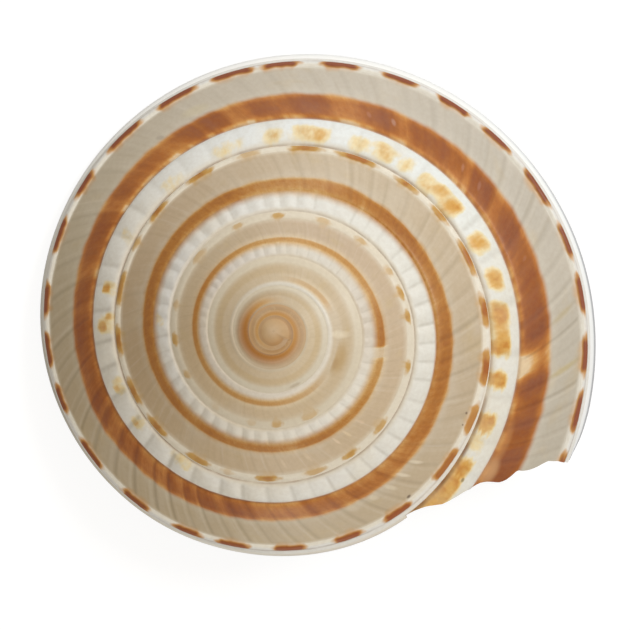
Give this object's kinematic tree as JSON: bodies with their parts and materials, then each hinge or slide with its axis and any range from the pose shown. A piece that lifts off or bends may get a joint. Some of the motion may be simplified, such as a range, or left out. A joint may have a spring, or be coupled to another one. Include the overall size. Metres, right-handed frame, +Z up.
{
  "type": "sundial shell",
  "caption": "Low conical sea snail shell with flat spiral bands, a keeled rim, an open mouth and a deep, toothed umbilicus. It rests on its base, tip up.",
  "frame": {"origin": "on the surface that the shell stands on, under the middle of its bounding box", "axes": "+Z up, towards the tip; +X along the greatest diameter, towards the lip's side of the last whorl; +Y completes the right-handed frame"},
  "size_m": [0.045, 0.0404, 0.019],
  "materials": {
    "shell": "smooth, softly glossy natural shell, cream and white with brown spiral bands"
  },
  "bodies": {
    "root": {"shell": "shell"}
  },
  "joints": []
}
